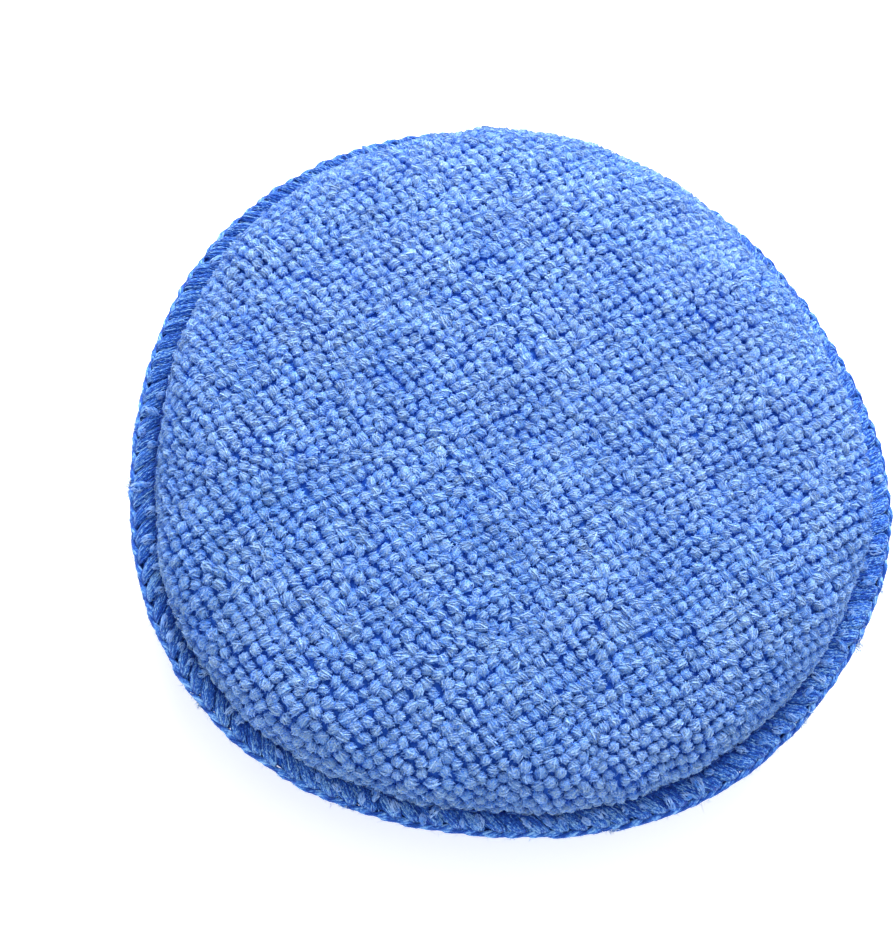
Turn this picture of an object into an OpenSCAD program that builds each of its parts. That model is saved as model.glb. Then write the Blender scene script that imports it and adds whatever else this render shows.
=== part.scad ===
// Round hand polishing pad: a foam core between two looped-pile cloth covers,
// joined all round by a three-thread overlocked edge.
// It lies on its back cover. The origin is the middle of the face it rests on, +Z up.

/* [Pad] */
// Diameter over the overlocked edge
pad_d = 130; // [110:1:160]
// Thickness over both covers, at the middle
pad_h = 32; // [28:1:40]
// Diameter of the domed part, at its widest
dome_d = 121; // [100:1:122]
// Diameter of the flat middle of each face
flat_d = 48; // [20:1:70]
// Roundness of the shoulder: 2 is an ellipse, larger is squarer
shoulder_n = 2.6; // [2:0.1:4]

/* [Covers] */
// Thickness of the cloth with its looped pile
cloth_t = 3; // [2:0.1:4]
// Thickness of one layer of cloth where the seam presses it flat
hem_t = 0.85; // [0.6:0.05:1]
// Gap between the two layers in the hem
hem_gap = 0.3; // [0.2:0.05:0.4]
// How far the crease at the foot of the dome is drawn in
crease_in = 1.1; // [0.8:0.1:1.4]

/* [Foam] */
// Gap between the foam and the covers
foam_gap = 0.35; // [0.3:0.05:0.6]

/* [Overlocked edge] */
// Thickness of the looper threads' band over the cloth
thread_t = 0.8; // [0.6:0.1:1]
// How far the threads stand out past the edge of the cloth
chain_t = 1.3; // [1:0.1:1.6]
// Width of the needle thread's line in the crease
needle_w = 0.6; // [0.4:0.05:0.7]
// Gap between the threads and the cloth
thread_gap = 0.3; // [0.2:0.05:0.4]

/* [Hidden] */

seam_z = pad_h / 2;                      // the plane in which the covers meet
dome_r = dome_d / 2;
flat_r = flat_d / 2;
foot_r = dome_r - crease_in;             // radius of the dome where it leaves the hem
hem_top = hem_gap / 2 + hem_t;           // heights below are above the seam plane
band_low = hem_top + thread_gap;
band_top = band_low + thread_t;
belly_z = band_top + 2.2;                // height at which the dome is widest
edge_r = pad_d / 2;
cloth_edge_r = edge_r - chain_t;
needle_r = foot_r + 0.65;                // inner radius of the needle thread's line
$fn = 180;

// The shoulder of a dome, from its widest point up to the edge of the flat face.
function shoulder(r, flat, low, high, n, step = 5) =
    [for (a = [0 : step : 90])
        [flat + (r - flat) * pow(cos(a), 2 / n), low + (high - low) * pow(sin(a), 2 / n)]];

// A point list read backwards.
function reversed(p) = [for (i = [len(p) - 1 : -1 : 0]) p[i]];

// The drawn-in foot of the dome: from the hem out to its widest point.
function foot(r, inset, low, high, steps = 4) =
    [for (i = [0 : steps - 1]) [r - inset * pow(1 - i / steps, 2), low + (high - low) * i / steps]];

// One cover above the seam plane: a shell with a flat flange for the hem.
module cover_shell() {
    outer = concat(foot(dome_r, crease_in, hem_top, belly_z),
                   shoulder(dome_r, flat_r, belly_z, seam_z, shoulder_n));
    inner = concat([[foot_r - cloth_t, hem_gap / 2]],
                   shoulder(dome_r - cloth_t, flat_r - 1, belly_z - 1, seam_z - cloth_t, shoulder_n));
    rotate_extrude()
        polygon(concat([[cloth_edge_r, hem_gap / 2], [cloth_edge_r, hem_top]],
                       outer, [[0, seam_z], [0, seam_z - cloth_t]], reversed(inner)));
}

// Half of the foam, above the seam plane. The seam nips it in a little round its waist.
function foam_half() = concat(
    [[foot_r - cloth_t - foam_gap - 0.1, 0]],
    shoulder(dome_r - cloth_t - foam_gap, flat_r - 1.2, belly_z - 0.9, seam_z - cloth_t - foam_gap, shoulder_n));

// A looper thread: a band over one side of the hem, and half of the chain round its edge.
module looper_band() {
    rotate_extrude()
        polygon([[needle_r + needle_w, band_low],
                 [cloth_edge_r + thread_gap, band_low],
                 [cloth_edge_r + thread_gap, 0],
                 [edge_r - 0.25, 0],
                 [edge_r, 0.35],
                 [edge_r, band_low - 0.2],
                 [edge_r - 0.5, band_top - 0.25],
                 [edge_r - 1.2, band_top],
                 [needle_r + needle_w, band_top]]);
}

// The needle thread's line of stitches, on one side of the hem.
module needle_line() {
    rotate_extrude()
        polygon([[needle_r, band_low + 0.15],
                 [needle_r + 0.15, band_low],
                 [needle_r + needle_w, band_low],
                 [needle_r + needle_w, band_top],
                 [needle_r + 0.2, band_top],
                 [needle_r, band_top - 0.2]]);
}

// The sponge disc inside: round shoulders and two flat faces.
module foam_core() {
    half = foam_half();
    color("gainsboro")
        translate([0, 0, seam_z])
            rotate_extrude()
                polygon(concat([[0, seam_z - cloth_t - foam_gap]], reversed(half),
                               [for (i = [1 : len(half) - 1]) [half[i][0], -half[i][1]]],
                               [[0, -(seam_z - cloth_t - foam_gap)]]));
}

// The cover on the working face.
module front_cover() {
    color("cornflowerblue")
        translate([0, 0, seam_z]) cover_shell();
}

// The cover on the back, the same cut of cloth turned over.
module back_cover() {
    color("cornflowerblue")
        translate([0, 0, seam_z]) mirror([0, 0, 1]) cover_shell();
}

// The needle thread, which shows in the crease on both sides of the hem.
module needle_thread() {
    color("royalblue")
        translate([0, 0, seam_z]) {
            needle_line();
            mirror([0, 0, 1]) needle_line();
        }
}

// The looper thread over the front of the hem.
module upper_looper_thread() {
    color("royalblue")
        translate([0, 0, seam_z]) looper_band();
}

// The looper thread over the back of the hem.
module lower_looper_thread() {
    color("royalblue")
        translate([0, 0, seam_z]) mirror([0, 0, 1]) looper_band();
}

foam_core();
front_cover();
back_cover();
needle_thread();
upper_looper_thread();
lower_looper_thread();
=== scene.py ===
"""A round hand polishing pad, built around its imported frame.

All shapes are worked out in millimetres about the pad's own axis and scaled to metres when a
mesh is made. "Local" coordinates have z measured up from the seam plane; the back of the pad is
worked out the same way and turned over.
"""

import math

import bpy
import numpy as np
from mathutils import Matrix, Vector
from mathutils.kdtree import KDTree


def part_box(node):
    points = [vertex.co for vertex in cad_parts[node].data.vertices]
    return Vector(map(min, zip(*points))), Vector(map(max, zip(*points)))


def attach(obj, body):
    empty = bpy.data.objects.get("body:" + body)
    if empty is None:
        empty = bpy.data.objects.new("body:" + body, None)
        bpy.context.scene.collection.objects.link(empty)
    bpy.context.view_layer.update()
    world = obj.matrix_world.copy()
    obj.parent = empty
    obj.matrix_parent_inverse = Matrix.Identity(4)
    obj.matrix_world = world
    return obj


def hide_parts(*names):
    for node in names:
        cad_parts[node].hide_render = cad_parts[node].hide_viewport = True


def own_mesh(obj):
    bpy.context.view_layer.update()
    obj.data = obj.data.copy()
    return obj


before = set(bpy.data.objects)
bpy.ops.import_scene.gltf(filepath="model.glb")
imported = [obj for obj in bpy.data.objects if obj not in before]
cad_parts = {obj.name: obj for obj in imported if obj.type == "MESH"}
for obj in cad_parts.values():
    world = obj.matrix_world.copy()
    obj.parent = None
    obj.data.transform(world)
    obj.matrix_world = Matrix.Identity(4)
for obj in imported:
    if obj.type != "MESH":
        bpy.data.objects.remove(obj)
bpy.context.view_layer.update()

MM = 0.001
TAU = 2 * math.pi

# ---------------------------------------------------------------- sizes from the frame
(_, _, back_z), (edge_x, _, _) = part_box("upper_looper_thread")
_, (_, _, top_z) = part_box("front_cover")
foam_lo, foam_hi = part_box("foam_core")
EDGE_R = round(edge_x / MM, 1)  # radius over the overlocked edge
PAD_H = top_z / MM  # thickness over both covers
SEAM_Z = PAD_H / 2
FOAM_R = foam_hi[0] / MM
FOAM_T = (foam_hi[2] - foam_lo[2]) / MM
PILE = 1.85  # height of the loops over the knitted ground
DOME_R = EDGE_R - 4.5  # widest radius of the dome, over the loops
FOOT_R = DOME_R - 1.1
FLAT_R = 24.0
SHOULDER = 2.6
BELLY_Z = 4.2
STITCHES = 122


def wobble(phi, terms):
    """A closed outline's small deviations from round: pairs of cosine and sine by harmonic."""
    out = np.zeros_like(phi)
    for k, (c, s) in terms.items():
        out = out + c * np.cos(k * phi) + s * np.sin(k * phi)
    return out


# A soft sewn pad is never quite round or flat.
def edge_out(phi):
    return wobble(phi, {1: (-0.2, 0.0), 2: (-0.5, -0.1), 3: (1.05, 0.3), 4: (-0.1, -0.3), 5: (0.0, 0.4), 6: (0.1, 0.22), 7: (0.0, 0.12)})


def dome_out(phi, side):
    if side > 0:
        return wobble(phi, {1: (-0.49, -0.74), 2: (-1.26, -0.25), 3: (1.32, 0.04), 4: (0.21, -0.2), 5: (-0.2, 0.62)})
    return wobble(phi, {1: (0.2, -0.3), 2: (-0.6, -0.2), 3: (1.1, 0.2), 4: (0.15, 0.1)})


def seam_up(phi):
    return wobble(phi, {1: (0.05, -1.15), 2: (0.08, -0.34), 3: (0.03, -0.02)})


def smooth_noise(p, wavelength, seed, terms=14):
    """Soft noise of about unit size at points p (N, 2 or 3)."""
    r = np.random.default_rng(seed)
    out = np.zeros(len(p))
    for _ in range(terms):
        k = r.normal(size=p.shape[1])
        k *= TAU / wavelength * r.uniform(0.7, 1.3) / np.linalg.norm(k)
        out += np.cos(p @ k + r.uniform(0, TAU))
    return out * math.sqrt(2 / terms)


# ---------------------------------------------------------------- meshes from arrays
def make(name, parts, material, body, soft=False, smooth=True):
    """parts is a list of (verts, faces (F, k), uv layers {name: (F, k, 2)}, values {name: (V,)})."""
    verts = np.concatenate([p[0] for p in parts])
    # The pad's own weight presses the lowest loops flat where it stands.
    low = verts[:, 2] < 0.6
    verts[low, 2] = 0.6 * np.exp((verts[low, 2] - 0.6) / 0.6)
    me = bpy.data.meshes.new(name)
    me.vertices.add(len(verts))
    me.vertices.foreach_set("co", (verts * MM).astype(np.float32).ravel())
    loops, starts, at, base = [], [], 0, 0
    for p in parts:
        f = p[1]
        loops.append((f + base).ravel())
        starts.append(at + np.arange(len(f)) * f.shape[1])
        at += f.size
        base += len(p[0])
    loops, starts = np.concatenate(loops), np.concatenate(starts)
    me.loops.add(len(loops))
    me.loops.foreach_set("vertex_index", loops.astype(np.int32))
    me.polygons.add(len(starts))
    me.polygons.foreach_set("loop_start", starts.astype(np.int32))
    me.update(calc_edges=True)
    soft_faces = np.concatenate([np.full(len(p[1]), p[3].get("_smooth", smooth)) for p in parts])
    me.polygons.foreach_set("use_smooth", soft_faces.astype(bool))
    for layer in sorted({k for p in parts for k in p[2]}):
        uv = me.uv_layers.new(name=layer)
        data = np.concatenate(
            [p[2].get(layer, np.zeros((*p[1].shape, 2))).reshape(-1, 2) for p in parts]
        )
        uv.data.foreach_set("uv", data.astype(np.float32).ravel())
    for key in sorted({k for p in parts for k in p[3] if k != "_smooth"}):
        a = me.attributes.new(key, "FLOAT", "POINT")
        data = np.concatenate([p[3].get(key, np.zeros(len(p[0]))) for p in parts])
        a.data.foreach_set("value", data.astype(np.float32))
    me.materials.append(material)
    ob = bpy.data.objects.new(name, me)
    bpy.context.scene.collection.objects.link(ob)
    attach(ob, body)
    if soft:
        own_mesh(ob)
    return ob


def placed(verts, side):
    """Local coordinates to the row's."""
    out = verts.copy()
    out[..., 2] = SEAM_Z + side * verts[..., 2]
    return out


def wound(faces, side):
    return faces if side > 0 else faces[:, ::-1]


def cells(count, columns=None):
    """A square sheet of tiles, each with its lower corner and its size."""
    n = columns or math.ceil(math.sqrt(count))
    i = np.arange(count)
    return np.stack([i % n, i // n], 1) / n, 1.0 / n


def tubes(paths, radii, sides, up, chunk=None, twist=0.0, lobes=0, lobe=0.0, ends=True, values=None):
    """Closed tubes along paths (N, K, 3), with radii (N, K). up (N, K, 3) is each ring's reference."""
    n, k, _ = paths.shape
    t = np.gradient(paths, axis=1)
    t /= np.linalg.norm(t, axis=2, keepdims=True) + 1e-12
    b = np.cross(t, up)
    b /= np.linalg.norm(b, axis=2, keepdims=True) + 1e-12
    u = np.cross(b, t)
    ang = np.arange(sides) / sides * TAU
    ring = ang[None, None, :] + (twist * np.arange(k))[None, :, None]
    r = radii[:, :, None] * (1 + lobe * np.cos(lobes * ang))[None, None, :]
    v = (
        paths[:, :, None, :]
        + r[..., None] * (np.cos(ring)[..., None] * b[:, :, None, :] + np.sin(ring)[..., None] * u[:, :, None, :])
    )
    idx = np.arange(n * k * sides).reshape(n, k, sides)
    nxt = np.roll(idx, -1, axis=2)
    q = np.stack([idx[:, :-1], nxt[:, :-1], nxt[:, 1:], idx[:, 1:]], -1)  # n, k-1, sides, 4
    # The bake's layout: one tile for each stretch of each tube.
    chunk = chunk or (k - 1)
    seg = np.arange(k - 1)
    per = math.ceil((k - 1) / chunk)
    low, size = cells(n * per)
    tile = low[(np.arange(n)[:, None] * per + (seg // chunk)[None, :])]  # n, k-1, 2
    x0 = (seg % chunk) / chunk
    m = np.arange(sides) / sides
    cu = np.stack([x0, x0, x0 + 1 / chunk, x0 + 1 / chunk], -1)  # k-1, 4
    cv = np.stack([m, m + 1 / sides, m + 1 / sides, m], -1)  # sides, 4
    bake = np.empty((n, k - 1, sides, 4, 2))
    bake[..., 0] = tile[:, :, None, None, 0] + size * (0.06 + 0.88 * cu[None, :, None, :])
    bake[..., 1] = tile[:, :, None, None, 1] + size * (0.06 + 0.88 * cv[None, None, :, :])
    # Along and round the thread, in millimetres, for its fibres.
    step = np.linalg.norm(np.diff(paths, axis=1), axis=2)
    along = np.concatenate([np.zeros((n, 1)), np.cumsum(step, axis=1)], 1)
    jump = np.random.default_rng(n * 7 + k).uniform(0, 400, (n, 2))
    fib = np.empty((n, k - 1, sides, 4, 2))
    a4 = np.stack([along[:, :-1], along[:, :-1], along[:, 1:], along[:, 1:]], -1)
    fib[..., 0] = (a4 + jump[:, :1, None])[:, :, None, :]
    mean = float(radii.mean()) * TAU
    fib[..., 1] = (cv * mean)[None, None] + jump[:, 1][:, None, None, None]
    uv = {"OFBake": bake.reshape(-1, 4, 2), "Fibre": fib.reshape(-1, 4, 2)}
    held = {key: np.repeat(a.reshape(-1), sides) for key, a in (values or {}).items()}
    parts = [(v.reshape(-1, 3), q.reshape(-1, 4), uv, held)]
    if ends:
        first = idx[:, 0, ::-1]
        last = idx[:, -1, :]
        caps = np.concatenate([first, last])
        corner = np.concatenate([tile[:, 0], tile[:, -1]])[:, None, :] + size * 0.03
        capuv = np.repeat(corner, sides, axis=1)
        parts.append((np.zeros((0, 3)), caps - len(v.reshape(-1, 3)), {"OFBake": capuv}, {}))
    return parts


def joined(*groups):
    """Several groups of parts as one, each with its own rows of the bake's sheet."""
    out, count = [], len(groups)
    for i, parts in enumerate(groups):
        for v, f, uv, val in parts:
            uv = dict(uv)
            if "OFBake" in uv:
                b = uv["OFBake"].copy()
                b[..., 1] = (b[..., 1] + i) / count
                uv["OFBake"] = b
            out.append((v, f, uv, val))
    return out


# ---------------------------------------------------------------- the camera
def set_camera():
    f, dist = 1800.0, 302.8
    tilt, roll = math.radians(25.55), math.radians(19.96)
    e = math.pi / 2 - tilt
    back = Vector((0, -math.cos(e), math.sin(e)))
    right = Vector((1, 0, 0))
    up = back.cross(right)
    r2 = math.cos(roll) * right + math.sin(roll) * up
    u2 = -math.sin(roll) * right + math.cos(roll) * up
    rows = Matrix((r2, u2, back))
    aim = Vector(((512.3 - 447) / f, (465.5 - 459.9) / f, -1)).normalized()
    turn = Vector((0, 0, -1)).rotation_difference(aim).to_matrix()
    world_to_cam = turn @ rows
    centre = Vector((0, 0, SEAM_Z * MM))
    cam = bpy.data.cameras.new("camera")
    cam.sensor_fit = "HORIZONTAL"
    cam.sensor_width = 36
    cam.lens = 36 * f / 894
    cam.clip_start, cam.clip_end = 0.01, 20
    ob = bpy.data.objects.new("camera", cam)
    bpy.context.scene.collection.objects.link(ob)
    ob.matrix_world = Matrix.Translation(centre + back * dist * MM) @ world_to_cam.transposed().to_4x4()
    bpy.context.scene.camera = ob


set_camera()


# ---------------------------------------------------------------- materials
class Nodes:
    """Short hand for building a material's nodes."""

    def __init__(self, name):
        self.mat = bpy.data.materials.new(name)
        self.mat.use_nodes = True
        self.t = self.mat.node_tree
        self.p = self.t.nodes["Principled BSDF"]

    def add(self, kind, **values):
        n = self.t.nodes.new(kind)
        for k, v in values.items():
            if hasattr(n, k):
                setattr(n, k, v)
            else:
                n.inputs[k].default_value = v
        return n

    def link(self, a, b):
        self.t.links.new(a, b)

    def math(self, op, a, b=None, c=None, clamp=False):
        n = self.t.nodes.new("ShaderNodeMath")
        n.operation, n.use_clamp = op, clamp
        for i, x in enumerate((a, b, c)):
            if x is None:
                continue
            if isinstance(x, (int, float)):
                n.inputs[i].default_value = x
            else:
                self.link(x, n.inputs[i])
        return n.outputs[0]

    def value(self, name):
        return self.add("ShaderNodeAttribute", attribute_name=name).outputs["Fac"]

    def mix(self, fac, a, b, kind="MIX"):
        n = self.t.nodes.new("ShaderNodeMix")
        n.data_type, n.blend_type = "RGBA", kind
        for socket, x in ((n.inputs["Factor"], fac), (n.inputs["A"], a), (n.inputs["B"], b)):
            s = socket
            if isinstance(x, (int, float)):
                s.default_value = x
            elif isinstance(x, tuple):
                s.default_value = (*x, 1)
            else:
                self.link(x, s)
        return n.outputs["Result"]

    def ramp(self, fac, *stops):
        n = self.t.nodes.new("ShaderNodeValToRGB")
        cr = n.color_ramp
        while len(cr.elements) < len(stops):
            cr.elements.new(0.5)
        for e, (pos, col) in zip(cr.elements, stops):
            e.position = pos
            e.color = (*col, 1) if len(col) == 3 else col
        self.link(fac, n.inputs["Fac"])
        return n.outputs["Color"]

    def mapped(self, uv, scale):
        src = self.t.nodes.new("ShaderNodeUVMap")
        src.uv_map = uv
        m = self.t.nodes.new("ShaderNodeMapping")
        m.inputs["Scale"].default_value = scale
        self.link(src.outputs["UV"], m.inputs["Vector"])
        return m.outputs["Vector"]

    def noise(self, vector, scale, detail=2.0, rough=0.5):
        n = self.add("ShaderNodeTexNoise")
        n.inputs["Scale"].default_value = scale
        n.inputs["Detail"].default_value = detail
        n.inputs["Roughness"].default_value = rough
        if vector is not None:
            self.link(vector, n.inputs["Vector"])
        return n.outputs["Fac"]

    def place(self):
        return self.add("ShaderNodeTexCoord").outputs["Object"]

    def bump(self, height, strength, distance, normal=None):
        n = self.add("ShaderNodeBump")
        n.inputs["Strength"].default_value = strength
        n.inputs["Distance"].default_value = distance
        self.link(height, n.inputs["Height"])
        if normal is not None:
            self.link(normal, n.inputs["Normal"])
        return n.outputs["Normal"]


def pile_material():
    n = Nodes("looped_pile")
    h, rnd = n.value("pile_h"), n.value("pile_rnd")
    streak = n.noise(n.mapped("Fibre", (2.8, 1.1, 1)), 1.5, 2.0, 0.6)
    speck = n.noise(n.place(), 3600.0, 3.0, 0.7)
    patch = n.noise(n.place(), 55.0, 2.0, 0.5)
    # Painted shade by height on the loop: deep and saturated down between the loops, where shade falls, paler up at
    # their tops.
    body = n.ramp(h, (0.0, (0.018, 0.185, 0.90)), (0.45, (0.060, 0.245, 0.80)), (0.8, (0.165, 0.342, 0.71)), (1.0, (0.258, 0.425, 0.68)))
    # Painted light: the loops are paler and brighter towards the pad's +y side, and a little towards −x, the side the
    # key lamp lights.
    where = n.add("ShaderNodeSeparateXYZ")
    n.link(n.place(), where.inputs[0])
    side = n.math("MULTIPLY_ADD", where.outputs[1], 7.0, n.math("MULTIPLY_ADD", where.outputs[0], -1.5, 0.12), clamp=True)
    body = n.mix(n.math("MULTIPLY", side, 0.75), body, n.ramp(h, (0.2, (0.10, 0.31, 0.86)), (0.9, (0.335, 0.49, 0.72))))
    # Painted highlights: pale streaks on the upper parts of the loops, where the fibre tips catch the light.
    tip = n.math("MULTIPLY", n.math("MULTIPLY_ADD", streak, 6.0, -2.95, clamp=True), n.math("MULTIPLY_ADD", h, 1.3, -0.3, clamp=True))
    pale = n.mix(tip, body, (0.42, 0.565, 0.82))
    dark = n.math("MULTIPLY_ADD", speck, -8.0, 4.0, clamp=True)
    grain = n.mix(n.math("MULTIPLY", dark, 0.88), pale, (0.034, 0.18, 0.80))
    hue = n.add("ShaderNodeHueSaturation")
    n.link(grain, hue.inputs["Color"])
    # Value: each loop's tone from pile_rnd (random, with painted shade in the crease), times the painted light towards
    # +y.
    n.link(n.math("MULTIPLY", n.math("MULTIPLY_ADD", rnd, 0.44, 0.82), n.math("MULTIPLY_ADD", side, 0.20, 0.95)), hue.inputs["Value"])
    n.link(n.math("MULTIPLY_ADD", patch, 0.10, 0.95), hue.inputs["Saturation"])
    n.link(hue.outputs["Color"], n.p.inputs["Base Color"])
    n.link(n.math("MULTIPLY_ADD", streak, 0.2, 0.75), n.p.inputs["Roughness"])
    n.p.inputs["Specular IOR Level"].default_value = 0.03
    n.p.inputs["Sheen Weight"].default_value = 0.08
    n.p.inputs["Sheen Roughness"].default_value = 0.32
    n.p.inputs["Sheen Tint"].default_value = (0.42, 0.68, 1.0, 1)
    first = n.bump(streak, 0.55, 0.00030)
    n.link(n.bump(speck, 0.85, 0.00022, first), n.p.inputs["Normal"])
    return n.mat


def fluff_material(name, low, high):
    n = Nodes(name)
    streak = n.noise(n.place(), 900.0, 2.0, 0.6)
    n.link(n.ramp(streak, (0.35, low), (0.65, high)), n.p.inputs["Base Color"])
    n.link(n.math("MULTIPLY_ADD", streak, 0.2, 0.7), n.p.inputs["Roughness"])
    n.p.inputs["Specular IOR Level"].default_value = 0.05
    n.p.inputs["Sheen Weight"].default_value = 0.1
    n.p.inputs["Sheen Tint"].default_value = (0.5, 0.75, 1.0, 1)
    return n.mat


def ground_material():
    n = Nodes("knitted_ground")
    wales = n.add("ShaderNodeTexWave", wave_type="BANDS", bands_direction="X")
    wales.inputs["Scale"].default_value = 150.0
    wales.inputs["Distortion"].default_value = 1.5
    n.link(n.place(), wales.inputs["Vector"])
    fine = n.noise(n.place(), 2600.0, 3.0, 0.6)
    both = n.math("MULTIPLY_ADD", fine, 0.6, n.math("MULTIPLY", wales.outputs["Fac"], 0.4))
    # The ground is coloured darker than the loops: partly its own blue, partly painted shade for the gaps between the
    # loops where it shows.
    n.link(n.ramp(both, (0.2, (0.014, 0.095, 0.55)), (0.8, (0.034, 0.165, 0.72))), n.p.inputs["Base Color"])
    n.link(n.math("MULTIPLY_ADD", fine, 0.2, 0.75), n.p.inputs["Roughness"])
    n.p.inputs["Specular IOR Level"].default_value = 0.1
    n.p.inputs["Sheen Weight"].default_value = 0.05
    n.p.inputs["Sheen Tint"].default_value = (0.3, 0.6, 1.0, 1)
    n.link(n.bump(both, 0.8, 0.0003), n.p.inputs["Normal"])
    return n.mat


def thread_material(name, dark, mid, light, sheen=0.35):
    n = Nodes(name)
    fibre = n.noise(n.mapped("Fibre", (0.35, 9.0, 1)), 1.5, 3.0, 0.65)
    crimp = n.noise(n.mapped("Fibre", (1.5, 0.8, 1)), 1.3, 2.0, 0.6)
    patch = n.noise(n.place(), 160.0, 2.0, 0.5)
    own = n.value("tone")
    tone = n.math("MULTIPLY_ADD", own, 0.24, n.math("MULTIPLY_ADD", crimp, 0.85, n.math("MULTIPLY_ADD", patch, 0.20, -0.15)))
    n.link(n.ramp(tone, (0.35, dark), (0.50, mid), (0.65, light)), n.p.inputs["Base Color"])
    n.link(n.math("MULTIPLY_ADD", fibre, 0.3, 0.42), n.p.inputs["Roughness"])
    n.p.inputs["Specular IOR Level"].default_value = 0.18
    n.p.inputs["Sheen Weight"].default_value = sheen
    n.p.inputs["Sheen Roughness"].default_value = 0.4
    n.p.inputs["Sheen Tint"].default_value = (0.55, 0.75, 1.0, 1)
    n.link(n.bump(fibre, 0.8, 0.00012), n.p.inputs["Normal"])
    return n.mat


def foam_material():
    n = Nodes("sponge")
    cell = n.add("ShaderNodeTexVoronoi", feature="DISTANCE_TO_EDGE")
    cell.inputs["Scale"].default_value = 1300.0
    n.link(n.place(), cell.inputs["Vector"])
    wide = n.noise(n.place(), 90.0, 3.0, 0.5)
    wall = n.math("MULTIPLY", cell.outputs["Distance"], 5.0, clamp=True)
    # Painted shade: each cell is darker towards its middle, the hollow of the pore, and pale at its raised walls.
    col = n.mix(wall, (0.80, 0.79, 0.74), (0.50, 0.49, 0.46))
    n.link(n.mix(n.math("MULTIPLY", wide, 0.3), col, (0.86, 0.84, 0.78)), n.p.inputs["Base Color"])
    n.link(n.math("MULTIPLY_ADD", wide, 0.15, 0.8), n.p.inputs["Roughness"])
    n.link(n.bump(n.math("SUBTRACT", 1.0, wall), 0.7, 0.0004), n.p.inputs["Normal"])
    return n.mat


def floor_material():
    n = Nodes("pale_floor")
    soft = n.noise(n.place(), 6.0, 2.0, 0.5)
    n.link(n.mix(soft, (0.93, 0.93, 0.93), (0.96, 0.96, 0.96)), n.p.inputs["Base Color"])
    n.p.inputs["Roughness"].default_value = 0.9
    n.p.inputs["Specular IOR Level"].default_value = 0.1
    n.p.inputs["Emission Color"].default_value = (1, 1, 1, 1)
    n.p.inputs["Emission Strength"].default_value = 0.42
    return n.mat


PILE_MAT = pile_material()
FIBRE_MAT = fluff_material("split_fibres", (0.11, 0.29, 0.78), (0.31, 0.50, 0.86))
HEM_PILE_MAT = fluff_material("hem_pile", (0.070, 0.25, 0.74), (0.36, 0.56, 0.90))
LINT_MAT = fluff_material("loose_fluff", (0.42, 0.60, 0.88), (0.70, 0.82, 0.95))
GROUND_MAT = ground_material()
BAND_MAT = thread_material("looper_thread", (0.006, 0.055, 0.42), (0.030, 0.175, 0.70), (0.27, 0.54, 0.92), 0.15)
CHAIN_MAT = thread_material("looper_thread_chain", (0.012, 0.085, 0.50), (0.060, 0.24, 0.76), (0.26, 0.54, 0.97), 0.2)
NEEDLE_MAT = thread_material("needle_thread_blue", (0.008, 0.04, 0.28), (0.025, 0.11, 0.50), (0.09, 0.26, 0.74))
FOAM_MAT = foam_material()


# ---------------------------------------------------------------- the covers' ground
def meridian(inset):
    """From the middle of the face to the hem, inset below the loops' tips: points (K, 2) of r, z."""
    top, wide = PAD_H / 2 - inset, DOME_R - inset * 0.95
    pts = [(r, top) for r in np.arange(0, FLAT_R, 3.0)]
    for a in np.linspace(math.pi / 2, 0, 20):
        pts.append((
            FLAT_R + (wide - FLAT_R) * math.cos(a) ** (2 / SHOULDER) if a < math.pi / 2 else FLAT_R,
            BELLY_Z + (top - BELLY_Z) * math.sin(a) ** (2 / SHOULDER) if a > 0 else BELLY_Z,
        ))
    for i in range(1, 6):
        t = 1 - i / 5
        pts.append((wide - 1.15 * (1 - t) ** 2, 0.75 + (BELLY_Z - 0.75) * t))
    return np.array(pts)


def even(pts, step):
    """The same line with evenly spaced points, and the distance of each along it."""
    d = np.concatenate([[0], np.cumsum(np.linalg.norm(np.diff(pts, axis=0), axis=1))])
    n = max(2, round(d[-1] / step))
    s = np.linspace(0, d[-1], n + 1)
    return np.stack([np.interp(s, d, pts[:, 0]), np.interp(s, d, pts[:, 1])], 1), s


SEGS = 144


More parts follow.
